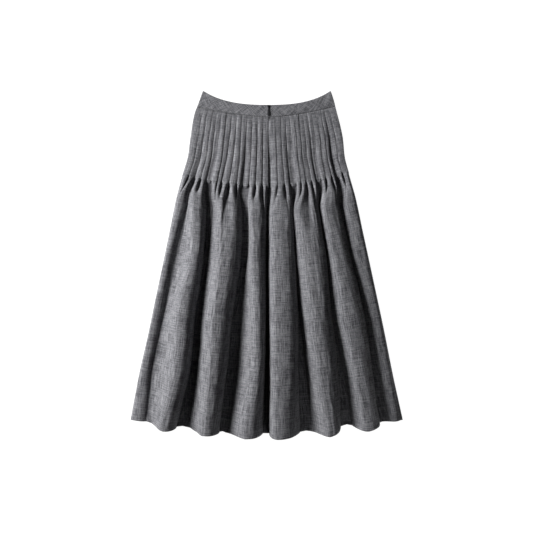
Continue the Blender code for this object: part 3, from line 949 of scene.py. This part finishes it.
def cloth_material(name, tones):
    """The suiting, from the threads' lengths alone."""
    made, tree, shader = new_material(name)
    threads = node(tree, "ShaderNodeUVMap", uv_map="Threads").outputs["UV"]
    tone = TONE_OFFSET
    for across, along, detail, weight in STREAKS:
        streak = streaks(tree, threads, across, along, detail)
        tone = math_node(tree, "MULTIPLY_ADD", streak, weight, tone)
    split = node(tree, "ShaderNodeSeparateXYZ")
    tree.links.new(threads, split.inputs[0])
    turn = 2 * math.pi / THREAD_PITCH
    over = math_node(tree, "SINE", math_node(tree, "MULTIPLY", split.outputs[0], turn), None)
    under = math_node(tree, "SINE", math_node(tree, "MULTIPLY", split.outputs[1], turn), None)
    crossing = math_node(tree, "MULTIPLY", over, under)
    tone = math_node(tree, "MULTIPLY_ADD", crossing, CROSSING_TONE, tone)
    ramp = node(tree, "ShaderNodeValToRGB")
    stops = ramp.color_ramp.elements
    for stop, (place, colour) in zip(stops, (tones[0], tones[-1])):
        stop.position = place
        stop.color = (*colour, 1.0)
    for place, colour in tones[1:-1]:
        stops.new(place).color = (*colour, 1.0)
    tree.links.new(tone, ramp.inputs["Fac"])
    tree.links.new(ramp.outputs["Color"], shader.inputs["Base Color"])
    relief = math_node(tree, "MULTIPLY_ADD", crossing, CROSSING_RELIEF, tone)
    bump = node(tree, "ShaderNodeBump", Strength=RELIEF_STRENGTH, Distance=RELIEF_HEIGHT)
    tree.links.new(relief, bump.inputs["Height"])
    tree.links.new(bump.outputs["Normal"], shader.inputs["Normal"])
    shader.inputs["Roughness"].default_value = 0.9
    shader.inputs["Sheen Weight"].default_value = 0.12
    shader.inputs["Sheen Roughness"].default_value = 0.5
    shader.inputs["Specular IOR Level"].default_value = 0.25
    print(name, len(tree.nodes), "nodes")
    return made


cloth = cloth_material("heathered_cloth", CLOTH_TONES)
for piece in (*backs, front, band_front, band_left, band_right):
    piece.data.materials.append(cloth)

# %% [markdown]
# ## Zip
# The concealed zip runs from the waist to the release. Closed, it shows as a dark line with a
# slider and a flat teardrop tab at the top. The coil's turns repeat, so Geometry Nodes place
# them along the line; the tab is one outline with softened edges; the slider stays the solid's.

# %% Dark metal
METAL_COLOUR = (0.045, 0.045, 0.05)
METAL_ROUGH_LEAST = 0.30
METAL_ROUGH_SPAN = 0.25
metal, tree, shader, noise = mottled_material("zip_metal", METAL_COLOUR, 900.0, 3.0, 0.7, 1.35)
rough = math_node(tree, "MULTIPLY_ADD", noise, METAL_ROUGH_SPAN, METAL_ROUGH_LEAST)
tree.links.new(rough, shader.inputs["Roughness"])
shader.inputs["Metallic"].default_value = 0.7
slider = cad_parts["zip_slider"]
slider.data.materials.clear()
slider.data.materials.append(metal)
print("metal on the slider")

# %% Rods along a line with Geometry Nodes
def row_tree(name, inputs, sides, material):
    """Rods laid at a pitch along a piece's line; the second input is a rod's length."""
    tree = bpy.data.node_groups.new(name, "GeometryNodeTree")
    tree.interface.new_socket("Geometry", in_out="INPUT", socket_type="NodeSocketGeometry")
    for socket, value in inputs.items():
        tree.interface.new_socket(socket, in_out="INPUT", socket_type="NodeSocketFloat")
        tree.interface.items_tree[-1].default_value = value
    tree.interface.new_socket("Geometry", in_out="OUTPUT", socket_type="NodeSocketGeometry")
    pitch, length, thickness = inputs
    enter = node(tree, "NodeGroupInput")
    leave = node(tree, "NodeGroupOutput")
    to_curve = node(tree, "GeometryNodeMeshToCurve")
    points = node(tree, "GeometryNodeCurveToPoints", mode="LENGTH")
    rod = node(tree, "GeometryNodeMeshCylinder", Vertices=sides)
    spread = node(tree, "GeometryNodeInstanceOnPoints")
    real = node(tree, "GeometryNodeRealizeInstances")
    paint = node(tree, "GeometryNodeSetMaterial", Material=material)
    link = tree.links.new
    link(enter.outputs["Geometry"], to_curve.inputs["Mesh"])
    link(to_curve.outputs["Curve"], points.inputs["Curve"])
    link(enter.outputs[pitch], points.inputs["Length"])
    link(enter.outputs[length], rod.inputs["Depth"])
    link(enter.outputs[thickness], rod.inputs["Radius"])
    link(points.outputs["Points"], spread.inputs["Points"])
    link(spread.outputs["Instances"], real.inputs["Geometry"])
    link(real.outputs["Geometry"], paint.inputs["Geometry"])
    link(paint.outputs["Geometry"], leave.inputs["Geometry"])
    return tree, points, rod, spread


def line_piece(name, points):
    """A mesh of edges along some points."""
    mesh = bpy.data.meshes.new(name)
    mesh.from_pydata([tuple(p) for p in points], [(i, i + 1) for i in range(len(points) - 1)], [])
    return put_in_scene(name, mesh)


def settle_nodes(piece, tree, inputs):
    """Runs a tree on a piece with named inputs, and keeps the result as a plain mesh."""
    run = piece.modifiers.new("nodes", "NODES")
    run.node_group = tree
    for item in tree.interface.items_tree:
        if item.in_out == "INPUT" and item.name in inputs:
            run[item.identifier] = inputs[item.name]
    graph = bpy.context.evaluated_depsgraph_get()
    done = bpy.data.meshes.new_from_object(piece.evaluated_get(graph))
    piece.modifiers.clear()
    piece.data = done
    print(piece.name, len(done.polygons), "faces")
    return piece


print("rods ready")

# %% Coil turns
COIL_HIGH = 4.15
COIL_FROM = 4.0
COIL_TO = 198.0
# The turns lie across the line, and slant a little as a coil's do.
TURN_SLANT = math.radians(12.0)
turns, points, rod, spread = row_tree(
    "coil_turns", {"Pitch": 0.0015, "Width": 0.0019, "Thread": 0.00045}, 8, metal)
flip = node(turns, "GeometryNodeTransform")
flip.inputs["Rotation"].default_value = (0.0, math.pi / 2, TURN_SLANT)
turns.links.new(rod.outputs["Mesh"], flip.inputs["Geometry"])
turns.links.new(flip.outputs["Geometry"], spread.inputs["Instance"])
coil_down = np.linspace(COIL_FROM, COIL_TO, 40)
coil_line = to_frame(seam_across(coil_down), coil_down, COIL_HIGH)
coil = settle_nodes(line_piece("coil", coil_line), turns,
                    {"Pitch": 0.0016, "Width": 0.0019, "Thread": 0.0005})

# %% Teardrop pull tab
HINGE_DOWN = 4.0
HINGE_HIGH = 7.8
TAB_THICK = 1.0
TAB_SOFT = 0.22
TAB_POINTS = 26
# Distance from the hinge, half width.
TAB_OUTLINE = np.array([
    (-0.55, 1.9),
    (2.7, 2.1),
    (6.0, 1.5),
    (10.0, 1.8),
    (15.0, 2.9),
    (19.0, 3.2),
    (22.5, 2.3),
    (24.3, 1.2),
])
# The round tip beyond the outline and the eye at the hinge: across, distance from the hinge.
TAB_TIP = [(0.75, 24.9), (0.0, 25.1), (-0.75, 24.9)]
TAB_EYE = [(-1.3, 0.55), (1.3, 0.55), (1.3, 2.7), (-1.3, 2.7)]


def tab_piece(name):
    """The tab's smooth outline with its eye, as a bevelled plate."""
    along = np.linspace(TAB_OUTLINE[0, 0], TAB_OUTLINE[-1, 0], TAB_POINTS)
    half = follow(TAB_OUTLINE[:, 0], TAB_OUTLINE[:, 1], along)
    outline = [*zip(half, along), *TAB_TIP, *zip(-half[::-1], along[::-1])]
    shape = bmesh.new()
    middle = float(seam_across(0.0))
    low = HINGE_HIGH - TAB_THICK / 2
    rims = []
    for ring in (outline, TAB_EYE):
        corners = [shape.verts.new(to_frame(middle + x, HINGE_DOWN + a, low)) for x, a in ring]
        rims += [shape.edges.new(pair) for pair in zip(corners, corners[1:] + corners[:1])]
    bmesh.ops.triangle_fill(shape, use_beauty=True, edges=rims)
    made = bmesh.ops.extrude_face_region(shape, geom=shape.faces[:])
    tops = [v for v in made["geom"] if isinstance(v, bmesh.types.BMVert)]
    bmesh.ops.translate(shape, verts=tops, vec=(0.0, 0.0, TAB_THICK * MM))
    bmesh.ops.recalc_face_normals(shape, faces=shape.faces)
    mesh = bpy.data.meshes.new(name)
    shape.to_mesh(mesh)
    shape.free()
    piece = put_in_scene(name, mesh)
    soft = piece.modifiers.new("soft_edges", "BEVEL")
    soft.width = TAB_SOFT * MM
    soft.segments = 2
    soft.angle_limit = math.radians(50)
    return piece


tab = tab_piece("pull_tab_plate")
tab.data.materials.append(metal)
print("tab", len(tab.data.polygons), "faces")

# %% [markdown]
# ## Stitching
# Rows of short stitches hold the narrow hem and the lower edge of the band. Stitches set one
# by one would be slow to place and slow to change, so each row is a line on the cloth, and one
# small tree of nodes lays stitches along it, each a little different.

# %% Thread and stitch tree
thread, tree, shader, noise = mottled_material(
    "sewing_thread", (0.03, 0.03, 0.033), 2500.0, 2.0, 0.6, 1.5)
shader.inputs["Roughness"].default_value = 0.75
stitches, points, rod, spread = row_tree(
    "stitch_row", {"Pitch": 0.003, "Length": 0.0022, "Thread": 0.0003}, 6, thread)
wobble = node(stitches, "FunctionNodeRandomValue", data_type="FLOAT_VECTOR", Seed=7)
wobble.inputs[0].default_value = (0.85, 0.85, 0.75)
wobble.inputs[1].default_value = (1.15, 1.15, 1.1)
stitches.links.new(points.outputs["Rotation"], spread.inputs["Rotation"])
stitches.links.new(rod.outputs["Mesh"], spread.inputs["Instance"])
stitches.links.new(wobble.outputs[0], spread.inputs["Scale"])
print("stitch tree", len(stitches.nodes), "nodes")

# %% Rows of stitches
HEM_STITCH_UP = 7.0
STITCH_PROUD = 0.05
HEM_STITCHES = {"Pitch": 0.0034, "Length": 0.0025, "Thread": 0.00032}
BAND_STITCHES = {"Pitch": 0.003, "Length": 0.0021, "Thread": 0.00026}
# Where the band's rows run: from one share of the waist's width to another, at a share of the
# band's height, on a share of its thickness.
BAND_ROWS = {"band_stitches_left": (-0.995, -0.02), "band_stitches_right": (0.02, 0.995)}
BAND_ROW_DOWN = 0.98
BAND_ROW_HIGH = 0.80


def hem_row(name, side, seed):
    """A row of stitches just above the hem, on the outer face."""
    levels = HEM - HEM_STITCH_UP + np.array([-1.0, 0.0, 1.0])
    points = to_frame(*panel_points(side, COLUMN_STEPS, levels, seed))
    out = np.cross(points[2] - points[0], np.gradient(points[1], axis=0))
    out /= np.linalg.norm(out, axis=1, keepdims=True)
    return line_piece(name, points[1] + out * (CLOTH_WALL + STITCH_PROUD) * MM)


rows = []
for name, (side, seed, _) in zip(("hem_stitches_left", "hem_stitches_right"), BACKS.values()):
    rows.append(settle_nodes(hem_row(name, side, seed), stitches, HEM_STITCHES))
for name, (start, end) in BAND_ROWS.items():
    across, down = level_points(np.linspace(start, end, 90), np.full(90, BAND_SEAM * BAND_ROW_DOWN))
    line = to_frame(across, down, FLOOR_OF_BAND + BAND_WALL * BAND_ROW_HIGH)
    rows.append(settle_nodes(line_piece(name, line), stitches, BAND_STITCHES))

# %% [markdown]
# ## Put each piece on its body
# Every piece rides on the body that carries it and stands for its solid.

# %% Ride and replace
for piece, solid in (
    (backs[0], "back_panel_left"),
    (backs[1], "back_panel_right"),
    (front, "front_panel"),
    (band_front, "front_waistband"),
    (band_left, "back_waistband_left"),
    (band_right, "back_waistband_right"),
):
    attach(piece, "skirt")
    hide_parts(solid)
for row in rows:
    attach(row, "skirt")
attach(coil, "skirt")
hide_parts("zip_coil")
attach(tab, "pull_tab")
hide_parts("zip_pull_tab")
print("six sheets of cloth,", len(rows), "rows of stitches, a coil and a tab")

# %% [markdown]
# ## Floor
# The photo is a cut-out on white, so the floor gives off white light of its own and shows no
# clear shadow. It lies a little under the cloth and is only a stage, no part of the skirt.

# %% White floor
FLOOR_HALF = 4.0
FLOOR_HIGH = -0.0005
CORNERS = ((-1, -1), (1, -1), (1, 1), (-1, 1))
mesh = bpy.data.meshes.new("floor")
mesh.from_pydata([(x * FLOOR_HALF, y * FLOOR_HALF, FLOOR_HIGH) for x, y in CORNERS],
                 [], [(0, 1, 2, 3)])
material, tree, shader = new_material("white_floor")
shader.inputs["Base Color"].default_value = (0.12, 0.12, 0.12, 1.0)
shader.inputs["Roughness"].default_value = 0.9
shader.inputs["Emission Color"].default_value = WHITE
shader.inputs["Emission Strength"].default_value = 1.0
mesh.materials.append(material)
put_in_scene("floor", mesh)
print("floor at", FLOOR_HIGH, "m")
